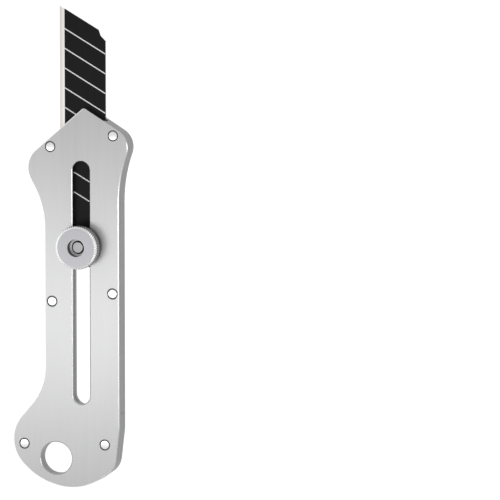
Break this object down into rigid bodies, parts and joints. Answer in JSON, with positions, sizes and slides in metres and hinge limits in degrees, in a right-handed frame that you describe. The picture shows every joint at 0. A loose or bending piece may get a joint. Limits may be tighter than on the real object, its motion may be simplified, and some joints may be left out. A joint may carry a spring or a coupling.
{
  "type": "snap-off utility knife",
  "caption": "All-metal snap-off utility knife: black sliding blade between two riveted steel plates, clamped by a knurled knob, with a lanyard hole in the flared tail.",
  "frame": {"origin": "on the back face that the knife lies on, on the blade's centre line, level with the lanyard hole's centre", "axes": "+Y along the knife towards the blade's tip, +X towards the blade's spine, +Z out of the front face towards the knob"},
  "size_m": [0.0454, 0.1816, 0.0144],
  "materials": {
    "handle_steel": "fine satin brushed faces with bright broken edges",
    "spacer_steel": "ground edge, slightly darker than the faces",
    "rivet_steel": "polished flush ends",
    "black_blade": "black oxide with bare score lines and an off-white ground edge",
    "carrier_steel": "plain machined",
    "stud_steel": "turned",
    "knob_steel": "satin turned face, straight-knurled rim"
  },
  "bodies": {
    "handle": {"front_plate": "handle_steel", "back_plate": "handle_steel", "edge_rail": "spacer_steel", "spine_rail": "spacer_steel", "tail_spacer": "spacer_steel", "rivet_head_edge": "rivet_steel", "rivet_head_spine": "rivet_steel", "rivet_waist_edge": "rivet_steel", "rivet_waist_spine": "rivet_steel", "rivet_tail_edge": "rivet_steel", "rivet_tail_spine": "rivet_steel"},
    "slider": {"blade": "black_blade", "blade_carrier": "carrier_steel", "clamp_stud": "stud_steel"},
    "washer": {"knob_washer": "stud_steel"},
    "knob": {"clamp_knob": "knob_steel"}
  },
  "joints": [
    {"name": "blade_slide", "type": "slide", "parent": "handle", "child": "slider", "axis": [0, 1, 0], "range_m": [-0.0545, 0.0267]},
    {"name": "knob_lift", "type": "slide", "parent": "slider", "child": "washer", "axis": [0, 0, 1], "range_m": [0, 0.0008]},
    {"name": "knob_turn", "type": "hinge", "parent": "washer", "child": "knob", "pos_m": [0, 0.0806, 0.0121], "axis": [0, 0, 1], "range_deg": [0, 360]}
  ],
  "couplings": [
    {"joint": "knob_lift", "follows": "knob_turn", "m_per_rad": 0.0001273}
  ]
}
